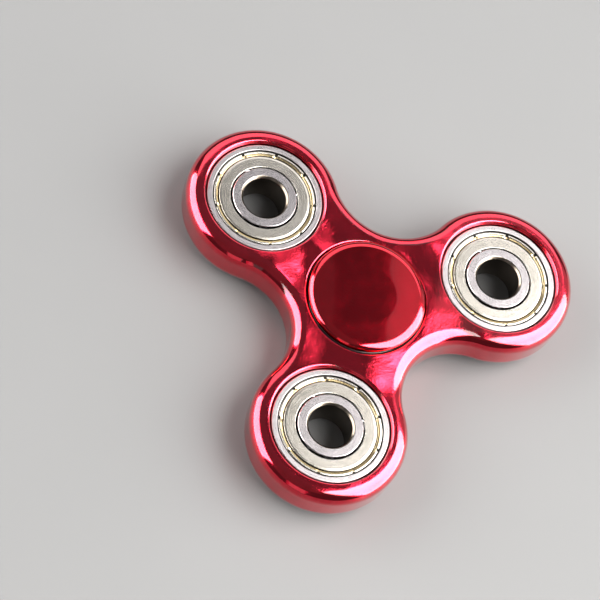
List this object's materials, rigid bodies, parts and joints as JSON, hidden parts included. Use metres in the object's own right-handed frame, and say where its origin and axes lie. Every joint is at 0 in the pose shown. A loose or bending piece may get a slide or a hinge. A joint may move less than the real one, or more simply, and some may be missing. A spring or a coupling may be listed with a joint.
{
  "type": "fidget spinner",
  "caption": "Flat lobed finger toy in glossy red plating that turns on a ball bearing between two low round finger caps, with an open-bored ball bearing as the weight in each lobe.",
  "frame": {"origin": "on the spin axis, at half the thickness, where the three lobe arms meet", "axes": "+Z along the spin axis towards the top finger cap, +Y from the spin axis to the back lobe, +X to the right"},
  "size_m": [0.0748, 0.0686, 0.0112],
  "materials": {
    "body_plating": "polished",
    "cap_plating": "polished",
    "ring_steel": "satin",
    "shield_zinc": "satin",
    "cage_steel": "satin",
    "ball_steel": "polished"
  },
  "bodies": {
    "hub": {"cap_top": "cap_plating", "cap_bottom": "cap_plating", "inner_ring_centre": "ring_steel"},
    "rotor": {"body": "body_plating", "outer_ring_centre": "ring_steel", "outer_ring_back": "ring_steel", "shield_top_back": "shield_zinc", "shield_bottom_back": "shield_zinc", "outer_ring_left": "ring_steel", "shield_top_left": "shield_zinc", "shield_bottom_left": "shield_zinc", "outer_ring_right": "ring_steel", "shield_top_right": "shield_zinc", "shield_bottom_right": "shield_zinc"},
    "cage_set_centre": {"cage_centre": "cage_steel", "ball_centre_1": "ball_steel", "ball_centre_2": "ball_steel", "ball_centre_3": "ball_steel", "ball_centre_4": "ball_steel", "ball_centre_5": "ball_steel", "ball_centre_6": "ball_steel", "ball_centre_7": "ball_steel"},
    "inner_set_back": {"inner_ring_back": "ring_steel"},
    "cage_set_back": {"cage_back": "cage_steel", "ball_back_1": "ball_steel", "ball_back_2": "ball_steel", "ball_back_3": "ball_steel", "ball_back_4": "ball_steel", "ball_back_5": "ball_steel", "ball_back_6": "ball_steel", "ball_back_7": "ball_steel"},
    "inner_set_left": {"inner_ring_left": "ring_steel"},
    "cage_set_left": {"cage_left": "cage_steel", "ball_left_1": "ball_steel", "ball_left_2": "ball_steel", "ball_left_3": "ball_steel", "ball_left_4": "ball_steel", "ball_left_5": "ball_steel", "ball_left_6": "ball_steel", "ball_left_7": "ball_steel"},
    "inner_set_right": {"inner_ring_right": "ring_steel"},
    "cage_set_right": {"cage_right": "cage_steel", "ball_right_1": "ball_steel", "ball_right_2": "ball_steel", "ball_right_3": "ball_steel", "ball_right_4": "ball_steel", "ball_right_5": "ball_steel", "ball_right_6": "ball_steel", "ball_right_7": "ball_steel"}
  },
  "joints": [
    {"name": "rotor_spin", "type": "hinge", "parent": "hub", "child": "rotor", "pos_m": [0, 0, 0], "axis": [0, 0, 1], "continuous": true},
    {"name": "cage_spin_centre", "type": "hinge", "parent": "hub", "child": "cage_set_centre", "pos_m": [0, 0, 0], "axis": [0, 0, 1], "continuous": true},
    {"name": "inner_spin_back", "type": "hinge", "parent": "rotor", "child": "inner_set_back", "pos_m": [0, 0.0264, 0], "axis": [0, 0, 1], "continuous": true},
    {"name": "cage_spin_back", "type": "hinge", "parent": "rotor", "child": "cage_set_back", "pos_m": [0, 0.0264, 0], "axis": [0, 0, 1], "continuous": true},
    {"name": "inner_spin_left", "type": "hinge", "parent": "rotor", "child": "inner_set_left", "pos_m": [-0.02286, -0.0132, 0], "axis": [0, 0, 1], "continuous": true},
    {"name": "cage_spin_left", "type": "hinge", "parent": "rotor", "child": "cage_set_left", "pos_m": [-0.02286, -0.0132, 0], "axis": [0, 0, 1], "continuous": true},
    {"name": "inner_spin_right", "type": "hinge", "parent": "rotor", "child": "inner_set_right", "pos_m": [0.02286, -0.0132, 0], "axis": [0, 0, 1], "continuous": true},
    {"name": "cage_spin_right", "type": "hinge", "parent": "rotor", "child": "cage_set_right", "pos_m": [0.02286, -0.0132, 0], "axis": [0, 0, 1], "continuous": true}
  ],
  "couplings": [
    {"joint": "cage_spin_centre", "follows": "rotor_spin", "ratio": 0.6323},
    {"joint": "cage_spin_back", "follows": "inner_spin_back", "ratio": 0.3677},
    {"joint": "cage_spin_left", "follows": "inner_spin_left", "ratio": 0.3677},
    {"joint": "cage_spin_right", "follows": "inner_spin_right", "ratio": 0.3677}
  ]
}
